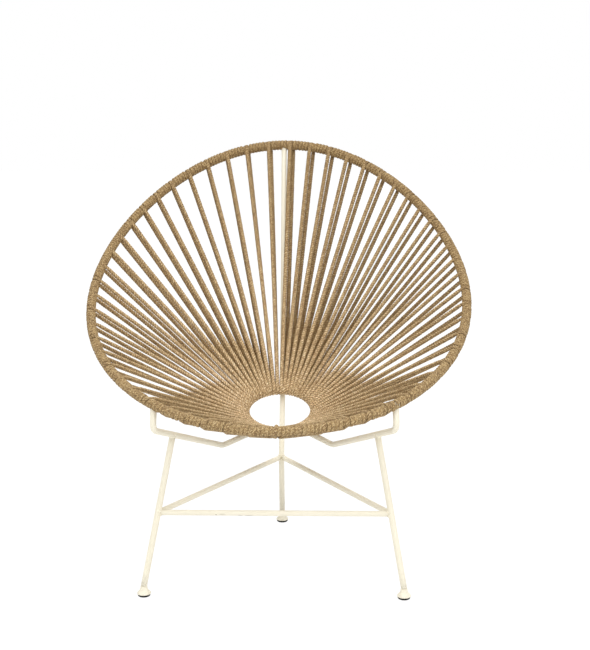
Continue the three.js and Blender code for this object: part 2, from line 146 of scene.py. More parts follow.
# How far each pair departs from even places, by pair: metres on the hoop, slots on the ring
HOOP_SHIFTS = (
    (0, -0.0025), (3, -0.0033), (6, 0), (9, 0), (12, -0.0045), (15, 0), (18, 0.005), (22, -0.003),
    (28, 0), (34, -0.001), (38, -0.002), (41, -0.0005), (44, 0.002), (50, -0.0005), (53, -0.001),
    (54, -0.0055), (55, -0.006), (56, -0.0025),
)
LOOP_ADVANCES = (
    (0, 0.007), (3, 0.006), (6, 0.003), (9, 0.004), (12, 0.002), (18, 0.001), (28, 0.006), (35, 0.009),
    (38, 0.012), (41, 0.012), (44, 0.007), (47, 0.007), (50, 0.006), (53, 0.002), (54, 0.006),
    (55, 0.006), (56, 0.007),
)
FRONT_SLOT_SHIFTS = (
    (0, 0.05), (3, -0.35), (6, -0.92), (9, -0.98), (12, -1.35), (15, -1.6), (18, -1.1), (21, -0.5),
    (24, 0), (31, 0.8), (34, 1.3), (38, 1.75), (41, 1.6), (44, 1.45), (47, 1.1), (50, 0.85), (53, 0.2),
    (56, 0.05),
)
BACK_SLOT_SHIFTS = (
    (0, -0.1), (3, -1.2), (6, -1.9), (9, -2.0), (12, -2.3), (15, -2.4), (18, -2.0), (20, -0.1),
    (21, 0.1), (34, 0), (35, 0.5), (38, 1.5), (41, 1.3), (44, 1.1), (47, 0.9), (50, 0.4),
    (53, -0.1), (55, -0.1),
)

# Bars of the frame
BAR_RADIUS = 0.006
STRETCHER_RADIUS = 0.0054
BAR_SIDES = 20
HOOP_STEPS = 180
RING_STEPS = 72
LEG_STEPS = 12
STRETCHER_STEPS = 16
STRETCHER_HEIGHT = 0.160
LEG_BOTTOM = 0.0201
FRONT_FOOT = Vector((0.250, -0.296, LEG_BOTTOM))
REAR_FOOT = Vector((0, 0.144, LEG_BOTTOM))
KNEE = Vector((0, 0.103, 0.162))
SPINE_BEND_RADIUS = 0.05
BAR_BELOW_RING = 0.0193
YOKE_OUTER_BEND = Vector((0.002, -0.005, -0.047))
YOKE_INNER_BEND = Vector((0.116, 0.007, 0.218))
YOKE_RING_SLOT = 22
YOKE_HOOP_SHIFTS = {"right": -0.0085, "left": -0.0024}
YOKE_INNER_SHIFTS = {"right": Vector((-0.0035, 0, 0)), "left": Vector((-0.005, 0, -0.003))}
YOKE_BEND_RADIUS = 0.021
LEG_TOP_SHARES = {"right": 0.27, "left": 0.259}

# Welds
WELD_OVERLAP = 0.003
BEAD_RADIUS = 0.0019
BEAD_STEPS = 72
BEAD_SIDES = 10
RIPPLE_SHARE = 0.10
RIPPLES = 17
SWELL_SHARE = 0.06
SWELLS = 5
SWELL_PHASE_PER_METRE = 900
STUD_WAIST_RADIUS = 0.0035
STUD_FLARE = 0.0012
STUD_STEPS = 8
STUD_SIDES = 16

# Feet, from the middle outwards: radius and height
CAP_PROFILE = (
    (0, 0.0047), (0.0122, 0.0046), (0.0131, 0.0049), (0.0134, 0.0056), (0.0132, 0.0065),
    (0.0125, 0.0078), (0.0114, 0.0091), (0.0102, 0.0103), (0.0090, 0.0115), (0.0080, 0.0129),
    (0.0073, 0.0146), (0.0069, 0.0166), (0.0067, 0.0188), (0.0063, 0.0200), (0, 0.0203),
)
PAD_PROFILE = (
    (0, 0), (0.0092, 0), (0.0106, 0.0003), (0.0116, 0.0011), (0.0122, 0.0024), (0.0124, 0.0038),
    (0.0120, 0.0048), (0, 0.0048),
)

# Dark marks on the paint: centre, reach each way, depth
DARK_MARKS = (
    ((-0.1110, -0.2765, 0.1575), (0.0018, 0.0030, 0.0018), 0.90),
    ((-0.0990, -0.2768, 0.1583), (0.0100, 0.0030, 0.0030), 0.22),
    ((-0.0650, -0.2745, 0.1555), (0.0070, 0.0040, 0.0018), 0.85),
    ((-0.0480, -0.2745, 0.1558), (0.0120, 0.0040, 0.0016), 0.75),
    ((0.1995, -0.2690, 0.3105), (0.0022, 0.0040, 0.0022), 0.80),
    ((0.0020, 0.0970, 0.1550), (0.0045, 0.0040, 0.0018), 0.60),
)

# Colours
TAN_WARM = (0.78, 0.530, 0.230, 1)
TAN_DULL = (0.624, 0.456, 0.202, 1)
PALE_FIBRE = (0.936, 0.749, 0.432, 1)
DARK_FLECK = (0.187, 0.109, 0.044, 1)
BROWN_BLOT = (0.25, 0.151, 0.0645, 1)
# Painted shade in the cord's grooves
GROOVE_PAINTED_SHADE = (0.177, 0.099, 0.0364, 1)
FIBRE_BROWN = (0.198, 0.114, 0.0437, 1)
CREAM = (0.915, 0.865, 0.715, 1)
CREAM_DULL = (0.89, 0.835, 0.675, 1)
FLOOR_DIRT = (0.33, 0.27, 0.19, 1)
WORN_PAINT = (0.42, 0.36, 0.27, 1)
DARK_MARK_BROWN = (0.20, 0.155, 0.10, 1)
PAD_BLACK = (0.005, 0.005, 0.0045, 1)
PAD_DUST = (0.014, 0.013, 0.011, 1)
FLOOR_GREY = (0.9, 0.9, 0.9, 1)
WHITE = (1, 1, 1, 1)

# Yarn in the cord's plies
YARN_PITCH = 0.0021
YARNS = 3.0
YARN_HEIGHT = 0.5

# Studio
FLOOR_REACH = 12
FLOOR_GLOW = 1.1
FLOOR_GLOW_SHARE = 0.86
WORLD_STRENGTH = 0.77
LAMP_TARGET = Vector((0, 0, 0.45))
LAMPS = (
    ("key", (-1.3, -2.0, 2.8), 2.2, 11.5),
    ("overhead", (0.1, -0.5, 2.9), 2.2, 29.8),
    ("low front", (0.2, -3.0, 0.9), 2.4, 8.6),
    ("fill", (2.2, -1.8, 1.6), 2.0, 8.6),
    ("back", (0.3, 2.4, 2.4), 2.0, 7.7),
)

SIDES = (("right", 1), ("left", -1))


# Routes

def hoop_point(turn):
    """The hoop's centre line, clockwise from its top as seen from the front."""
    fullness = 1 - EGG_SHARE * math.cos(turn) - FULLNESS_SHARE * math.cos(2 * turn)
    back = (1 + math.cos(turn)) / 2
    rise = STRAIGHT_RISE_SHARE * back + (1 - STRAIGHT_RISE_SHARE) * back * back
    return Vector((
        HOOP_WIDTH / 2 * math.sin(turn) * fullness,
        HOOP_DEPTH / 2 * math.cos(turn),
        LIP_HEIGHT + (HOOP_TOP - LIP_HEIGHT) * rise,
    ))


HOOP_TURNS = np.linspace(0, 2 * math.pi, HOOP_SAMPLES)
HOOP_POINTS = np.array([hoop_point(turn) for turn in HOOP_TURNS])
HOOP_RUN = np.concatenate([[0], np.cumsum(np.linalg.norm(np.diff(HOOP_POINTS, axis=0), axis=1))])
HOOP_LENGTH = float(HOOP_RUN[-1])
PAIR_SPACING = HOOP_LENGTH / PAIRS


def hoop_frame(distance):
    """Centre, way, the way into the bowl and the way out of the hoop, at a distance along it."""
    turn = float(np.interp(distance % HOOP_LENGTH, HOOP_RUN, HOOP_TURNS))
    small = 1e-4
    centre = hoop_point(turn)
    way = (hoop_point(turn + small) - hoop_point(turn - small)).normalized()
    normal = (RING_CENTRE - centre).cross(way).normalized()
    return centre, way, normal, normal.cross(way)


def ring_frame(slot, middle):
    """Centre and way of the seat ring's rod, at a number of slots from its rearmost point."""
    angle = slot * 2 * math.pi / RING_SLOTS
    tilt = Matrix.Rotation(RING_TILT, 3, "X")
    centre = middle + tilt @ Vector((math.sin(angle), math.cos(angle), 0)) * RING_RADIUS
    return centre, tilt @ Vector((math.cos(angle), -math.sin(angle), 0))


def web_frame(slot, distance, middle=RING_CENTRE + RING_SHIFT):
    """Ring centre, normal into the bowl and the way towards the hole, on the way from a slot."""
    centre, way = ring_frame(slot, middle)
    inward = (centre - hoop_frame(distance)[0]).normalized()
    normal = inward.cross(way).normalized()
    return centre, normal, way.cross(normal)


dice = np.random.default_rng(7)


class Route:
    """A cord's way: points with an up direction, two half sizes and a tone of painted light and shade.
    """

    def __init__(self):
        self.points = []
        self.ups = []
        self.sizes = []
        self.shades = []

    def add(self, point, up, wide, thick, shade=1.0):
        self.points.append(point)
        self.ups.append(up)
        self.sizes.append((wide, thick))
        self.shades.append(shade)

    def spaced(self, step, smoothing):
        """The route as rows of numbers, evenly spaced and smoothed."""
        points = np.array(self.points)
        run = np.concatenate([[0], np.cumsum(np.linalg.norm(np.diff(points, axis=0), axis=1))])
        count = int(run[-1] / step)
        marks = np.linspace(0, run[-1], count + 1)
        columns = np.hstack([points, np.array(self.ups), np.array(self.sizes),
                             np.array(self.shades)[:, None]])
        even = np.column_stack([np.interp(marks, run, column) for column in columns.T])
        reach = max(int(smoothing / step), 1)
        window = np.hanning(2 * reach + 3)[1:-1]
        window /= window.sum()
        padded = np.pad(even, ((reach, reach), (0, 0)), mode="edge")
        smooth = np.column_stack([np.convolve(column, window, "valid") for column in padded.T])
        smooth[0] = even[0]
        smooth[-1] = even[-1]
        return smooth


def by_pair(table, index):
    """A value for a pair from a table of some of them."""
    return float(np.interp(index, *zip(*table)))


def faded(value, start, reach):
    """One up to a start, and from there down to none over a reach."""
    return min(1.0, max(0.0, 1 - (value - start) / reach))


def top_slot(index):
    """Where a pair's front strand lies on top of the ring."""
    return (index + 0.5) * RING_SLOTS / PAIRS - 0.5 + by_pair(FRONT_SLOT_SHIFTS, index)


def under_slot(index):
    """Where a pair's back strand lies under the ring, clear of the welds there."""
    return CORD_SLOTS[index] + UNDER_LEAD_SLOTS + by_pair(BACK_SLOT_SHIFTS, index)


def front_distance(index):
    """Where a pair's front strand comes onto the hoop."""
    even = FIRST_OFFSET + by_pair(PAIR_PLACES, index) * PAIR_SPACING
    return even + by_pair(HOOP_SHIFTS, index)


def back_distance(index):
    """Where a pair's back strand leaves the hoop."""
    return front_distance(index) + by_pair(LOOP_ADVANCES, index)


def ring_half_loop(route, index, is_first):
    """Round the inner side of the ring, from under it to the top of it."""
    from_slot = under_slot(index - 1) if index else under_slot(PAIRS - 1) - RING_SLOTS
    to_slot = top_slot(index)
    to_distance = front_distance(index)
    from_distance = back_distance(index - 1) if index else back_distance(PAIRS - 1) - HOOP_LENGTH
    bulge = to_slot - INNER_LEAD_SLOTS - (from_slot + to_slot) / 2
    for step in range(0 if is_first else 1, LOOP_STEPS + 1):
        share = step / LOOP_STEPS
        side = math.sin(math.pi * share)
        slot = from_slot + (to_slot - from_slot) * share + bulge * side
        distance = from_distance + (to_distance - from_distance) * share
        centre, normal, reach = web_frame(slot, distance)
        out = reach * side - normal * math.cos(math.pi * share)
        place = centre + reach * side * RING_PATH_REACH
        place -= normal * math.cos(math.pi * share) * RING_PATH_RADIUS
        wide = RING_HALF_WIDTH + (RING_INNER_HALF_WIDTH - RING_HALF_WIDTH) * side
        route.add(place, out, wide, RING_HALF_THICKNESS, RING_SHADE)


def rim_shade(distance):
    """The painted light and shade of the cord on the hoop, with painted shade darkest at its top."""
    return by_pair(RIM_SHADES, distance % HOOP_LENGTH / PAIR_SPACING)


def hoop_half_loop(route, index):
    """Over the hoop's winding, pressed flat, from inside the bowl round to the back."""
    for step in range(LOOP_STEPS + 1):
        share = step / LOOP_STEPS
        turn = math.pi * share
        distance = front_distance(index) + by_pair(LOOP_ADVANCES, index) * share
        centre, way, normal, outward = hoop_frame(distance)
        out = normal * math.cos(turn) + outward * math.sin(turn)
        radius = winding_radius(distance) + LOOP_RISE - LOOP_HALF_THICKNESS
        route.add(centre + out * radius, out, LOOP_HALF_WIDTH, LOOP_HALF_THICKNESS, rim_shade(distance))


def strand(route, start, start_up, end, end_up, is_front, shade, half_width):
    """A straight stretch of cord that is round, and presses on its neighbours near the ring."""
    length = (end - start).length
    way = (end - start).normalized()
    wander = dice.normal(0, STRAND_WANDER, 2)
    for step in range(1, STRAND_STEPS):
        share = step / STRAND_STEPS
        up = start_up.lerp(end_up, share).normalized()
        sideways = up.cross(way)
        from_ring = (share if is_front else 1 - share) * length
        from_hoop = length - from_ring
        pressed = faded(from_hoop, 0, LOOP_PRESS_REACH)
        wide = float(np.interp(from_ring, CROWD_RUN, (*CROWD_HALF_WIDTHS, half_width)))
        wide += (LOOP_HALF_WIDTH - half_width) * pressed
        thick = CORD_RADIUS - (CORD_RADIUS - LOOP_HALF_THICKNESS) * pressed
        swing = math.sin(math.pi * share)
        offset = sideways * wander[0] * swing + up * wander[1] * swing
        # Painted light and shade along the strand, lightest near the ring
        painted_light = float(np.interp(from_ring, SHADE_RUN, SHADES if is_front else BACK_SHADES))
        route.add(start.lerp(end, share) + offset, up, wide, thick, shade * painted_light)


def seat_cord_route(first_pair):
    """One unbroken length of cord: up the front of the web, over the hoop and down its back."""
    route = Route()
    for index in range(first_pair, first_pair + PAIRS_PER_RUN):
        ring_half_loop(route, index, index == first_pair)
        top = route.points[-1]
        top_up = route.ups[-1]
        loop = Route()
        hoop_half_loop(loop, index)
        shade = by_pair(STRAND_SHADES, index)
        half_width = by_pair(STRAND_HALF_WIDTHS, index)
        strand(route, top, top_up, loop.points[0], loop.ups[0], True, shade, half_width)
        for point, up, size, tone in zip(loop.points, loop.ups, loop.sizes, loop.shades):
            route.add(point, up, *size, tone)
        centre, normal, reach = web_frame(under_slot(index), back_distance(index))
        landing = centre - normal * RING_PATH_RADIUS
        strand(route, loop.points[-1], loop.ups[-1], landing, -normal, False, shade, half_width)
        route.add(landing, -normal, RING_HALF_WIDTH, RING_HALF_THICKNESS, BACK_SHADES[0])
    return route


def winding_radius(distance):
    """Outer radius of the hoop's winding, fullest at the top of the back."""
    turn = 2 * math.pi * distance / HOOP_LENGTH
    ends = (WINDING_RADIUS_TOP + WINDING_RADIUS_FRONT) / 2
    ends += (WINDING_RADIUS_TOP - WINDING_RADIUS_FRONT) / 2 * math.cos(turn)
    return ends + (WINDING_RADIUS_SIDE - ends) * math.sin(turn) ** 2


LOOPS = [(front_distance(index), back_distance(index)) for index in range(PAIRS)]


def winding_press(distance, angle):
    """How far the winding is pressed by a loop, which slants over the outer half of the hoop."""
    turn = (angle + math.pi / 2) % (2 * math.pi) - math.pi / 2
    share = min(1.0, max(0.0, turn / math.pi))
    beyond = max(0.0, -turn, turn - math.pi)
    clear = min(abs(distance - low - (high - low) * share) for low, high in LOOPS)
    return faded(clear, PRESS_HALF_WIDTH, PRESS_FADE) * faded(beyond, PRESS_OVERRUN, PRESS_OVERRUN_FADE)


def winding_route(start, end):
    """Turn after turn of cord round the hoop, pressed thinner under the seat cord's loops."""
    route = Route()
    length = end - start
    turns = round(length / WINDING_PITCH)
    steps = turns * STEPS_PER_TURN
    for step in range(steps + 1):
        share = step / steps
        distance = start + length * share
        angle = WINDING_START + 2 * math.pi * turns * share
        centre, way, normal, outward = hoop_frame(distance)
        out = normal * math.cos(angle) + outward * math.sin(angle)
        press = winding_press(distance, angle)
        outer = winding_radius(distance) + (LOOP_RISE - 2 * LOOP_HALF_THICKNESS) * press
        thick = (outer - HOOP_ROD_RADIUS - WINDING_CLEARANCE) / 2
        route.add(centre + out * (outer - thick), out, WINDING_HALF_WIDTH, thick, rim_shade(distance))
    return route


def straight_cord(lays, groove_share, flatness):
    """A cord along Z: one lay of a lobed profile spun upwards, then copied end to end."""
    bm = bmesh.new()
    crest_layer = bm.verts.layers.float.new("crest")
    ring = bmesh.ops.create_circle(bm, cap_ends=False, segments=CORD_SIDES, radius=1)["verts"]
    for vert in ring:
        angle = math.atan2(vert.co.y, vert.co.x)
        crest = abs(math.cos(PLIES * angle / 2)) ** PLY_ROUNDNESS
        vert[crest_layer] = 1 - (1 - crest) * groove_share / PLY_GROOVE_SHARE
        flat = abs(math.cos(angle)) ** flatness + abs(math.sin(angle)) ** flatness
        vert.co *= (1 - groove_share * (1 - crest)) * flat ** (-1 / flatness)
    bmesh.ops.spin(
        bm, geom=bm.verts[:] + bm.edges[:], cent=(0, 0, 0), axis=(0, 0, 1),
        dvec=(0, 0, LAY_LENGTH / RINGS_PER_LAY), angle=2 * math.pi, steps=RINGS_PER_LAY,
        use_merge=False, use_duplicate=False,
    )
    faces_per_lay = len(bm.faces)
    made = 1
    while made < lays:
        more = min(made, lays - made)
        copy = bmesh.ops.duplicate(bm, geom=bm.faces[:more * faces_per_lay])["geom"]
        verts = [item for item in copy if isinstance(item, bmesh.types.BMVert)]
        bmesh.ops.translate(bm, vec=(0, 0, made * LAY_LENGTH), verts=verts)
        made += more
    bmesh.ops.remove_doubles(bm, verts=bm.verts[:], dist=1e-5)
    ends = [edge for edge in bm.edges if edge.is_boundary]
    bmesh.ops.holes_fill(bm, edges=ends, sides=CORD_SIDES)
    bmesh.ops.recalc_face_normals(bm, faces=bm.faces[:])
    return bm


def twisted_cord(name, route, seed, groove_share, flatness=2.0):
    """A three-ply twisted cord laid on its route."""
    places = route.spaced(ROUTE_STEP, ROUTE_SMOOTHING)
    run = np.concatenate([[0], np.cumsum(np.linalg.norm(np.diff(places[:, 0:3], axis=0), axis=1))])
    lays = round(float(run[-1]) / LAY_LENGTH)
    bm = straight_cord(lays, groove_share, flatness)
    mesh = bpy.data.meshes.new(name)
    bm.to_mesh(mesh)
    bm.free()
    lay_on_route(mesh, places, run * (lays * LAY_LENGTH / run[-1]), seed)
    mesh.shade_smooth()
    return add_object(name, mesh)


def lay_on_route(mesh, places, run, seed):
    """Moves a straight cord's points onto its route, and keeps where they were for its pattern."""
    count = len(mesh.vertices)
    straight = np.empty(count * 3)
    mesh.vertices.foreach_get("co", straight)
    straight = straight.reshape(-1, 3)
    ways = np.gradient(places[:, 0:3], axis=0)
    ways /= np.linalg.norm(ways, axis=1)[:, None]
    sideways = np.cross(places[:, 3:6], ways)
    sideways /= np.linalg.norm(sideways, axis=1)[:, None]
    ups = np.cross(ways, sideways)
    columns = np.hstack([places[:, 0:3], sideways, ups, places[:, 6:9]])
    at = np.column_stack([np.interp(straight[:, 2], run, column) for column in columns.T])
    wide = at[:, 9:10] * straight[:, 0:1]
    thick = at[:, 10:11] * straight[:, 1:2]
    placed = at[:, 0:3] + at[:, 3:6] * wide + at[:, 6:9] * thick
    mesh.vertices.foreach_set("co", placed.ravel())
    rest = straight * np.array([CORD_RADIUS, CORD_RADIUS, 1]) + np.array([0, 0, seed * PATTERN_OFFSET])
    mesh.attributes.new("rest", "FLOAT_VECTOR", "POINT").data.foreach_set("vector", rest.ravel())
    # Painted light and shade along the route
    shade = mesh.attributes.new("shade", "FLOAT", "POINT")
    shade.data.foreach_set("value", at[:, 11].ravel())
    # How far out on the cord's flank each point lies, for painted shade between strands
    flank = mesh.attributes.new("flank", "FLOAT", "POINT")
    flank.data.foreach_set("value", np.abs(straight[:, 0]) * np.minimum(1, at[:, 10] / CORD_RADIUS))
    mesh.update()


# Bars, welds and feet

def add_object(name, mesh):
    piece = bpy.data.objects.new(name, mesh)
    bpy.context.collection.objects.link(piece)
    return piece


def mirrored(place, side):
    """A place on the right, or the same place on the left where side is -1."""
    return Vector((side * place.x, place.y, place.z))


def straight_line(start, end, steps):
    """Evenly spaced points from one end of a straight bar to the other."""
    return [start.lerp(end, step / steps) for step in range(steps + 1)]


def rounded(corners, bend_radius, steps=10):
    """The corners' line with each inner corner bent to a radius."""
    line = [corners[0]]
    for before, corner, after in zip(corners, corners[1:], corners[2:]):
        back = (before - corner).normalized()
        ahead = (after - corner).normalized()
        setback = bend_radius * math.tan((math.pi - back.angle(ahead)) / 2)
        start = corner + back * setback
        end = corner + ahead * setback
        for step in range(steps + 1):
            share = step / steps
            line.append(start.lerp(corner, share).lerp(corner.lerp(end, share), share))
    line.append(corners[-1])
    return line


def sweep(bm, line, radii, sides=BAR_SIDES, closed=False):
    """A round bar along a line, one ring of points extruded and turned from each to the next."""
    count = len(line)
    frames = []
    guide = None
    for index, point in enumerate(line):
        before = line[(index - 1) % count] if closed or index else point
        after = line[(index + 1) % count] if closed or index < count - 1 else point
        way = (after - before).normalized()
        guide = way.orthogonal().normalized() if guide is None else guide
        guide = (guide - way * guide.dot(way)).normalized()
        turned = Matrix((guide, way.cross(guide), way)).transposed().to_4x4()
        frames.append(Matrix.Translation(point) @ turned @ Matrix.Scale(radii[index], 4))
    first = bmesh.ops.create_circle(bm, cap_ends=False, segments=sides, radius=1, matrix=frames[0])
    ring = first["verts"]
    edges = list(dict.fromkeys(edge for vert in ring for edge in vert.link_edges))
    start_edges = edges
    for index in range(1, count):
        made = bmesh.ops.extrude_edge_only(bm, edges=edges)["geom"]
        ring = [item for item in made if isinstance(item, bmesh.types.BMVert)]
        edges = [item for item in made if isinstance(item, bmesh.types.BMEdge)]
        bmesh.ops.transform(bm, matrix=frames[index] @ frames[index - 1].inverted(), verts=ring)
    if closed:
        bmesh.ops.bridge_loops(bm, edges=edges + start_edges)
    else:
        bmesh.ops.holes_fill(bm, edges=start_edges + edges, sides=sides)


def finished(bm, name):
    """A smooth piece with its faces outwards."""
    bmesh.ops.recalc_face_normals(bm, faces=bm.faces[:])
    mesh = bpy.data.meshes.new(name)
    bm.to_mesh(mesh)
    bm.free()
    mesh.shade_smooth()
    return add_object(name, mesh)


def bar(name, line, radius, closed=False):
    """A bar of one thickness."""
    bm = bmesh.new()
    sweep(bm, line, [radius] * len(line), closed=closed)
    piece = finished(bm, name)
    if not closed:
        flat_ends(piece)
    return piece


def flat_ends(piece):
    """Keeps a bar's end faces flat while its sides shade smooth."""
    for polygon in piece.data.polygons:
        if len(polygon.vertices) > 4:
            polygon.use_smooth = False


def weld_bead(name, joint, way, radius, other_way, other_radius):
    """A rippled bead of weld where a bar that leaves a joint meets the bar that crosses it."""
    side = way.cross(other_way).normalized()
    level = side.cross(way).normalized()
    slope = way - other_way * way.dot(other_way)
    line = []
    radii = []
    for step in range(BEAD_STEPS):
        turn = 2 * math.pi * step / BEAD_STEPS
        out = (side * math.cos(turn) + level * math.sin(turn)) * radius
        base = out - other_way * out.dot(other_way)
        inside = base.dot(slope) ** 2 - slope.length_squared * (base.length_squared - other_radius ** 2)
        reach = (-base.dot(slope) + math.sqrt(max(inside, 0))) / slope.length_squared
        line.append(joint + out + way * reach)
        ripple = RIPPLE_SHARE * math.sin(turn * RIPPLES)
        swell = SWELL_SHARE * math.sin(turn * SWELLS + radius * SWELL_PHASE_PER_METRE)
        radii.append(BEAD_RADIUS * (1 + ripple + swell))
    bm = bmesh.new()
    sweep(bm, line, radii, sides=BEAD_SIDES, closed=True)
    return finished(bm, name)


def spun(bm, profile, centre, steps=48):
    """A solid turned about the upright line through a centre, from (radius, height) points."""
    verts = [bm.verts.new(centre + Vector((radius, 0, height))) for radius, height in profile]
    edges = [bm.edges.new(pair) for pair in zip(verts, verts[1:])]
    bmesh.ops.spin(bm, geom=verts + edges, cent=centre, axis=(0, 0, 1), dvec=(0, 0, 0),
                   angle=2 * math.pi, steps=steps, use_merge=True, use_duplicate=False)
    bmesh.ops.remove_doubles(bm, verts=bm.verts[:], dist=1e-6)


def foot_piece(name, foot, profile):
    """A cap or a pad turned about the upright line through a foot."""
    bm = bmesh.new()
    spun(bm, profile, Vector((foot.x, foot.y, 0)))
    return finished(bm, name)


# Materials

def socket(group, name, kind, way="INPUT", value=None):
    made = group.interface.new_socket(name=name, in_out=way, socket_type=kind)
    if value is not None:
        made.default_value = value
    return made


class Nodes:
    """Short calls for building a node tree."""

    def __init__(self, tree):
        self.tree = tree

    def add(self, kind, **values):
        node = self.tree.nodes.new(kind)
        for name, value in values.items():
            setattr(node, name, value)
        return node

    def link(self, start, end):
        self.tree.links.new(start, end)

    def put(self, value, end):
        if isinstance(value, bpy.types.NodeSocket):
            self.link(value, end)
        else:
            end.default_value = value

    def attribute(self, name, output="Fac"):
        return self.add("ShaderNodeAttribute", attribute_name=name).outputs[output]

    def math(self, operation, first, second=0.0):
        node = self.add("ShaderNodeMath", operation=operation)
        self.put(first, node.inputs[0])
        self.put(second, node.inputs[1])
        return node.outputs[0]

    def noise(self, vector, scale, detail=2.0, roughness=0.5):
        node = self.add("ShaderNodeTexNoise")
        self.link(vector, node.inputs["Vector"])
        self.put(scale, node.inputs["Scale"])
        node.inputs["Detail"].default_value = detail
        node.inputs["Roughness"].default_value = roughness
        return node.outputs["Fac"]

    def ramp(self, factor, low, high):
        node = self.add("ShaderNodeMapRange")
        self.link(factor, node.inputs["Value"])
        node.inputs["From Min"].default_value = low
        node.inputs["From Max"].default_value = high
        return node.outputs["Result"]

    def mix(self, factor, first, second, blend="MIX"):
        node = self.add("ShaderNodeMix", data_type="RGBA", blend_type=blend)
        self.put(factor, node.inputs[0])
        self.put(first, node.inputs[6])
        self.put(second, node.inputs[7])
        return node.outputs[2]


def grain_group():
    """Fine grain and broad mottling that paint, cord and rubber share."""
    group = bpy.data.node_groups.new("Grain and mottling", "ShaderNodeTree")
    socket(group, "Vector", "NodeSocketVector")
    socket(group, "Grain Scale", "NodeSocketFloat", value=900.0)
    socket(group, "Mottle Scale", "NodeSocketFloat", value=9.0)
    socket(group, "Grain", "NodeSocketFloat", "OUTPUT")
    socket(group, "Mottle", "NodeSocketFloat", "OUTPUT")
    nodes = Nodes(group)
    start = nodes.add("NodeGroupInput")
    end = nodes.add("NodeGroupOutput")
    place = start.outputs["Vector"]
    grain = nodes.noise(place, start.outputs["Grain Scale"], detail=3.0, roughness=0.6)
    mottle = nodes.noise(place, start.outputs["Mottle Scale"], detail=4.0, roughness=0.55)
    nodes.link(grain, end.inputs["Grain"])
    nodes.link(nodes.ramp(mottle, 0.3, 0.7), end.inputs["Mottle"])
    return group


GRAIN = grain_group()


def new_material(name):
    material = bpy.data.materials.new(name)
    material.use_nodes = True
    nodes = Nodes(material.node_tree)
    shader = material.node_tree.nodes["Principled BSDF"]
    return material, nodes, shader


def add_grain(nodes, vector, grain_scale, mottle_scale):
    node = nodes.add("ShaderNodeGroup", node_tree=GRAIN)
    nodes.link(vector, node.inputs["Vector"])
    node.inputs["Grain Scale"].default_value = grain_scale
    node.inputs["Mottle Scale"].default_value = mottle_scale
    return node.outputs["Grain"], node.outputs["Mottle"]


def add_bump(nodes, shader, height, strength, distance):
    bump = nodes.add("ShaderNodeBump")
    bump.inputs["Strength"].default_value = strength
    bump.inputs["Distance"].default_value = distance
    nodes.link(height, bump.inputs["Height"])
    nodes.link(bump.outputs["Normal"], shader.inputs["Normal"])


def cord_material():
    """Tan twisted cord: fibres along the plies, painted shade in the grooves and on the flanks, patchy
    from dye and age, with painted light and shade along its length.
    """
    material, nodes, shader = new_material("tan twisted cord")
    rest = nodes.attribute("rest", "Vector")
    crest = nodes.attribute("crest")
    shade = nodes.attribute("shade")
    flank = nodes.attribute("flank")
    grain, mottle = add_grain(nodes, rest, grain_scale=1300.0, mottle_scale=12.0)

    parts = nodes.add("ShaderNodeSeparateXYZ")
    nodes.link(rest, parts.inputs[0])
    around = nodes.math("ARCTAN2", parts.outputs[1], parts.outputs[0])
    along = nodes.math("MULTIPLY", parts.outputs[2], 2 * math.pi / YARN_PITCH)
    yarn = nodes.math("SINE", nodes.math("ADD", nodes.math("MULTIPLY", around, YARNS), along))
    fibre = nodes.math("ADD", nodes.math("MULTIPLY", yarn, YARN_HEIGHT), grain)

    flecks = nodes.noise(rest, 430.0, detail=2.0, roughness=0.65)
    blots = nodes.noise(rest, 230.0, detail=2.0, roughness=0.6)
    blotted = nodes.math("MULTIPLY", nodes.ramp(blots, 0.47, 0.33), 0.80)
    tan = nodes.mix(mottle, TAN_WARM, TAN_DULL)
    tan = nodes.mix(nodes.ramp(flecks, 0.52, 0.66), tan, PALE_FIBRE)
    tan = nodes.mix(nodes.ramp(flecks, 0.505, 0.40), tan, DARK_FLECK)
    tan = nodes.mix(blotted, tan, BROWN_BLOT)
    # Painted shade in the grooves between the plies
    tan = nodes.mix(nodes.ramp(crest, 0.05, 0.80), GROOVE_PAINTED_SHADE, tan)
    tan = nodes.mix(nodes.ramp(fibre, 1.15, -0.2), tan, FIBRE_BROWN)

    # Painted shade on the flanks between strands
    edge = nodes.math("MULTIPLY", nodes.ramp(flank, 0.72, 1.0), -FLANK_PAINTED_SHADE)
    # Painted light and shade from the shade attribute, shifting the hue as it changes
    tone = nodes.math("MULTIPLY", shade, nodes.math("ADD", edge, 1.0))
    tint = nodes.add("ShaderNodeCombineColor")
    nodes.link(tone, tint.inputs[0])
    nodes.link(nodes.math("POWER", tone, GREEN_POWER), tint.inputs[1])
    nodes.link(nodes.math("POWER", tone, BLUE_POWER), tint.inputs[2])
    nodes.link(nodes.mix(1.0, tan, tint.outputs[0], "MULTIPLY"), shader.inputs["Base Color"])
    rough = nodes.math("ADD", nodes.math("MULTIPLY", grain, 0.25), 0.62)
    nodes.link(rough, shader.inputs["Roughness"])
    add_bump(nodes, shader, fibre, strength=0.55, distance=0.0004)
    return material


def dark_mark_mask(nodes, place, rough_edge):
    """A mask of the dark marks on the paint: one inside them, none outside."""
    mask = None
    for centre, reach, depth in DARK_MARKS:
        away = nodes.add("ShaderNodeVectorMath", operation="SUBTRACT")
        nodes.link(place, away.inputs[0])
        away.inputs[1].default_value = centre
        share = nodes.add("ShaderNodeVectorMath", operation="DIVIDE")
        nodes.link(away.outputs[0], share.inputs[0])
        share.inputs[1].default_value = reach
        size = nodes.add("ShaderNodeVectorMath", operation="LENGTH")
        nodes.link(share.outputs[0], size.inputs[0])
        inside = nodes.ramp(nodes.math("ADD", size.outputs["Value"], rough_edge), 1.3, 0.9)
        one = nodes.math("MULTIPLY", inside, depth)
        mask = one if mask is None else nodes.math("MAXIMUM", mask, one)
    return mask


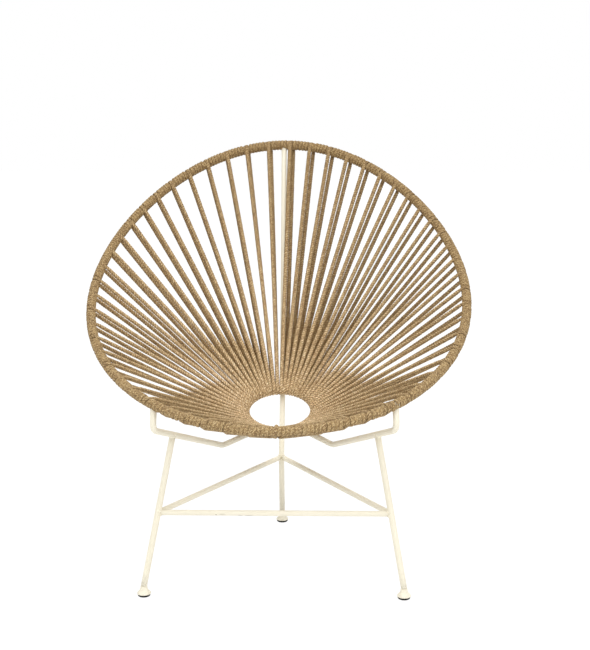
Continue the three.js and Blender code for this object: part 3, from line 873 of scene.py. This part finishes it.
def paint_material():
    """Cream powder coat: faint orange peel, dirt towards the floor, a few worn specks."""
    material, nodes, shader = new_material("cream powder coat")
    place = nodes.add("ShaderNodeTexCoord").outputs["Object"]
    grain, mottle = add_grain(nodes, place, grain_scale=700.0, mottle_scale=14.0)
    parts = nodes.add("ShaderNodeSeparateXYZ")
    nodes.link(place, parts.inputs[0])
    cream = nodes.mix(mottle, CREAM, CREAM_DULL)
    low = nodes.ramp(parts.outputs[2], 0.10, 0.0)
    dirt_noise = nodes.ramp(nodes.noise(place, 120.0, detail=5.0, roughness=0.7), 0.52, 0.78)
    dirty = nodes.math("MULTIPLY", low, dirt_noise)
    dirt = nodes.mix(nodes.math("MULTIPLY", dirty, 0.35), cream, FLOOR_DIRT)
    specks = nodes.ramp(nodes.noise(place, 260.0, detail=2.0, roughness=0.5), 0.74, 0.80)
    worn = nodes.mix(nodes.math("MULTIPLY", specks, 0.55), dirt, WORN_PAINT)
    rough_edge = nodes.noise(place, 900.0, detail=3.0, roughness=0.7)
    dark_marks = dark_mark_mask(nodes, place, rough_edge)
    marked = nodes.mix(dark_marks, worn, DARK_MARK_BROWN)
    nodes.link(marked, shader.inputs["Base Color"])
    rough = nodes.math("ADD", nodes.math("MULTIPLY", mottle, 0.12), 0.40)
    nodes.link(rough, shader.inputs["Roughness"])
    shader.inputs["Specular IOR Level"].default_value = 0.4
    add_bump(nodes, shader, grain, strength=0.12, distance=0.0004)
    return material


def pad_material():
    """Black moulded foot with scuffs and dust."""
    material, nodes, shader = new_material("black foot")
    place = nodes.add("ShaderNodeTexCoord").outputs["Object"]
    grain, mottle = add_grain(nodes, place, grain_scale=1600.0, mottle_scale=90.0)
    tone = nodes.mix(mottle, PAD_BLACK, PAD_DUST)
    nodes.link(tone, shader.inputs["Base Color"])
    rough = nodes.math("ADD", nodes.math("MULTIPLY", mottle, 0.2), 0.55)
    nodes.link(rough, shader.inputs["Roughness"])
    shader.inputs["Specular IOR Level"].default_value = 0.15
    add_bump(nodes, shader, grain, strength=0.3, distance=0.0003)
    return material


CORD = cord_material()
PAINT = paint_material()
PAD = pad_material()


def dress(piece, material, node):
    """Gives a piece its finish, and puts it in the place of a node of the solid model."""
    piece.data.materials.append(material)
    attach(piece, "root")
    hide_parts(node)


def paint(piece, node):
    dress(piece, PAINT, node)


# The frame's bars

def build_frame():
    hoop_line = [hoop_frame(HOOP_LENGTH * step / HOOP_STEPS)[0] for step in range(HOOP_STEPS)]
    paint(bar("hoop_bar", hoop_line, HOOP_ROD_RADIUS, True), "hoop_rod")
    middle = RING_CENTRE + RING_SHIFT
    ring_line = [ring_frame(RING_SLOTS * step / RING_STEPS, middle)[0] for step in range(RING_STEPS)]
    paint(bar("ring_bar", ring_line, RING_ROD_RADIUS, True), "seat_ring_rod")

    top, top_way = hoop_frame(0)[0:2]
    ring_centre, normal = web_frame(0, 0, RING_CENTRE)[0:2]
    under = ring_centre - normal * BAR_BELOW_RING
    top += SPINE_TOP_SHIFT
    down = (under - top).normalized()
    spine_line = rounded([REAR_FOOT, KNEE, under, top + down * WELD_OVERLAP], SPINE_BEND_RADIUS)
    paint(bar("rear_leg_spine_bar", spine_line, BAR_RADIUS), "rear_leg_and_spine")
    bead = weld_bead("bead_spine_hoop", top, down, BAR_RADIUS, top_way, HOOP_ROD_RADIUS)
    paint(bead, "weld_spine_hoop")
    stud("stud_spine_ring", ring_centre, under, "weld_spine_ring")

    corners = {side_name: build_side(side_name, side) for side_name, side in SIDES}
    knee_down = (REAR_FOOT - KNEE).normalized()
    knee_up = (under - KNEE).normalized()
    bend_rise = SPINE_BEND_RADIUS * (1 / math.sin(knee_down.angle(knee_up) / 2) - 1)
    knee_middle = KNEE + (knee_down + knee_up).normalized() * bend_rise
    corners["rear"] = knee_middle, (knee_up - knee_down).normalized()
    build_stretchers(corners)


def stud(name, start, end, node):
    """A weld between two cords, waisted in the middle."""
    radii = []
    for step in range(STUD_STEPS + 1):
        from_middle = abs(2 * step / STUD_STEPS - 1)
        radii.append(STUD_WAIST_RADIUS + STUD_FLARE * from_middle ** 2)
    bm = bmesh.new()
    sweep(bm, straight_line(start, end, STUD_STEPS), radii, sides=STUD_SIDES)
    paint(finished(bm, name), node)


def yoke_distance(side_name):
    """How far along the hoop a yoke meets it."""
    even = YOKE_PAIR * PAIR_SPACING
    return (even if side_name == "right" else HOOP_LENGTH - even) + YOKE_HOOP_SHIFTS[side_name]


def build_side(side_name, side):
    """A yoke and its front leg. Returns the leg's place and way where the stretchers meet it."""
    distance = yoke_distance(side_name)
    on_hoop, hoop_way = hoop_frame(distance)[0:2]
    outer_bend = on_hoop + mirrored(YOKE_OUTER_BEND, side)
    inner_bend = mirrored(YOKE_INNER_BEND, side) + YOKE_INNER_SHIFTS[side_name]
    slot = YOKE_RING_SLOT if side > 0 else RING_SLOTS - YOKE_RING_SLOT
    ring_centre, normal = web_frame(slot, distance, RING_CENTRE)[0:2]
    under = ring_centre - normal * BAR_BELOW_RING
    inward = (under - inner_bend).normalized()
    down = (outer_bend - on_hoop).normalized()
    corners = [on_hoop + down * WELD_OVERLAP, outer_bend, inner_bend, under + inward * WELD_OVERLAP]
    yoke = bar(f"yoke_bar_{side_name}", rounded(corners, YOKE_BEND_RADIUS), BAR_RADIUS)
    paint(yoke, f"yoke_{side_name}")
    bead = weld_bead(f"bead_yoke_hoop_{side_name}", on_hoop, down, BAR_RADIUS, hoop_way, HOOP_ROD_RADIUS)
    paint(bead, f"weld_yoke_hoop_{side_name}")
    stud(f"stud_yoke_ring_{side_name}", ring_centre, under, f"weld_yoke_ring_{side_name}")

    foot = mirrored(FRONT_FOOT, side)
    on_yoke = outer_bend.lerp(inner_bend, LEG_TOP_SHARES[side_name])
    leg_way = (foot - on_yoke).normalized()
    leg = bar(f"front_leg_bar_{side_name}", straight_line(foot, on_yoke, LEG_STEPS), BAR_RADIUS)
    paint(leg, f"front_leg_{side_name}")
    yoke_way = (inner_bend - outer_bend).normalized()
    bead = weld_bead(f"bead_leg_yoke_{side_name}", on_yoke, leg_way, BAR_RADIUS, yoke_way, BAR_RADIUS)
    paint(bead, f"weld_leg_yoke_{side_name}")
    corner = foot.lerp(on_yoke, (STRETCHER_HEIGHT - foot.z) / (on_yoke.z - foot.z))
    return corner, leg_way


def stretcher_bead(name, joint, way, leg_way, node):
    paint(weld_bead(name, joint, way, STRETCHER_RADIUS, leg_way, BAR_RADIUS), node)


def build_stretchers(corners):
    left, right = corners["left"][0], corners["right"][0]
    rear, rear_way = corners["rear"]
    across = (right - left).normalized()
    front = bar("front_stretcher_bar", straight_line(left, right, STRETCHER_STEPS), STRETCHER_RADIUS)
    paint(front, "stretcher_front")
    for side_name, side in SIDES:
        corner, way = corners[side_name]
        line = straight_line(corner, rear, STRETCHER_STEPS)
        paint(bar(f"side_stretcher_bar_{side_name}", line, STRETCHER_RADIUS), f"stretcher_{side_name}")
        back = (rear - corner).normalized()
        node = f"weld_corner_{side_name}"
        stretcher_bead(f"bead_front_{side_name}", corner, across * -side, way, node)
        stretcher_bead(f"bead_side_{side_name}", corner, back, way, node)
        stretcher_bead(f"bead_rear_{side_name}", rear, -back, rear_way, "weld_corner_rear")


def build_feet():
    feet = {"right": FRONT_FOOT, "left": mirrored(FRONT_FOOT, -1), "rear": REAR_FOOT}
    for name, foot in feet.items():
        paint(foot_piece(f"flared_cap_{name}", foot, CAP_PROFILE), f"foot_cap_{name}")
        dress(foot_piece(f"black_pad_{name}", foot, PAD_PROFILE), PAD, f"foot_pad_{name}")


def build_cord():
    for run in range(PAIRS // PAIRS_PER_RUN):
        route = seat_cord_route(run * PAIRS_PER_RUN)
        piece = twisted_cord(f"twisted_seat_cord_{run + 1:02d}", route, run + 1, PLY_GROOVE_SHARE)
        dress(piece, CORD, f"seat_cord_{run + 1:02d}")
    right = yoke_distance("right")
    left = yoke_distance("left")
    stretches = (
        ("right", 0, right - YOKE_GAPS["right"]),
        ("front", right + YOKE_GAPS["right"], left - YOKE_GAPS["left"]),
        ("left", left + YOKE_GAPS["left"], HOOP_LENGTH),
    )
    for index, (name, start, end) in enumerate(stretches):
        route = winding_route(start, end)
        seed = FIRST_WINDING_SEED + index
        piece = twisted_cord(f"wound_cord_{name}", route, seed, WOUND_GROOVE_SHARE, WOUND_FLATNESS)
        dress(piece, CORD, f"rim_winding_{name}")


# Floor, light and camera

def seen_directly(nodes, rays):
    """One for what the camera, a gloss or a glass sees, none for the light that falls on things."""
    gloss = nodes.math("MAXIMUM", rays.outputs["Is Camera Ray"], rays.outputs["Is Glossy Ray"])
    return nodes.math("MAXIMUM", gloss, rays.outputs["Is Transmission Ray"])


def build_studio():
    bm = bmesh.new()
    bmesh.ops.create_grid(bm, x_segments=1, y_segments=1, size=FLOOR_REACH)
    floor = finished(bm, "floor")
    material = bpy.data.materials.new("white floor")
    material.use_nodes = True
    nodes = Nodes(material.node_tree)
    shader = material.node_tree.nodes["Principled BSDF"]
    shader.inputs["Base Color"].default_value = FLOOR_GREY
    shader.inputs["Roughness"].default_value = 0.9
    glow = nodes.add("ShaderNodeEmission")
    glow.inputs["Strength"].default_value = FLOOR_GLOW
    rays = nodes.add("ShaderNodeLightPath")
    blend = nodes.add("ShaderNodeMixShader")
    share = nodes.math("MULTIPLY", seen_directly(nodes, rays), FLOOR_GLOW_SHARE)
    nodes.link(share, blend.inputs[0])
    nodes.link(shader.outputs[0], blend.inputs[1])
    nodes.link(glow.outputs[0], blend.inputs[2])
    nodes.link(blend.outputs[0], material.node_tree.nodes["Material Output"].inputs[0])
    floor.data.materials.append(material)

    world = bpy.data.worlds.new("studio")
    world.use_nodes = True
    bpy.context.scene.world = world
    nodes = Nodes(world.node_tree)
    soft = world.node_tree.nodes["Background"]
    soft.inputs["Color"].default_value = WHITE
    soft.inputs["Strength"].default_value = WORLD_STRENGTH
    white = nodes.add("ShaderNodeBackground")
    white.inputs["Color"].default_value = WHITE
    white.inputs["Strength"].default_value = 1.0
    rays = nodes.add("ShaderNodeLightPath")
    blend = nodes.add("ShaderNodeMixShader")
    nodes.link(seen_directly(nodes, rays), blend.inputs[0])
    nodes.link(soft.outputs[0], blend.inputs[1])
    nodes.link(white.outputs[0], blend.inputs[2])
    nodes.link(blend.outputs[0], world.node_tree.nodes["World Output"].inputs[0])

    for name, place, size, power in LAMPS:
        lamp = bpy.data.lights.new(name, "AREA")
        lamp.size = size
        lamp.energy = power
        holder = bpy.data.objects.new(name, lamp)
        bpy.context.collection.objects.link(holder)
        holder.location = place
        aim = LAMP_TARGET - holder.location
        holder.rotation_euler = aim.to_track_quat("-Z", "Y").to_euler()


def build_camera():
    lens = bpy.data.cameras.new("camera")
    lens.sensor_width = 36
    lens.lens = FOCAL_LENGTH_PX / PHOTO_HEIGHT_PX * lens.sensor_width
    camera = bpy.data.objects.new("camera", lens)
    bpy.context.collection.objects.link(camera)
    camera.location = CAMERA_PLACE
    camera.rotation_euler = Euler((math.pi / 2 - CAMERA_PITCH, 0, CAMERA_YAW))
    bpy.context.scene.camera = camera


build_camera()
build_frame()
build_feet()
build_cord()
build_studio()
bpy.context.scene.view_settings.view_transform = "Standard"
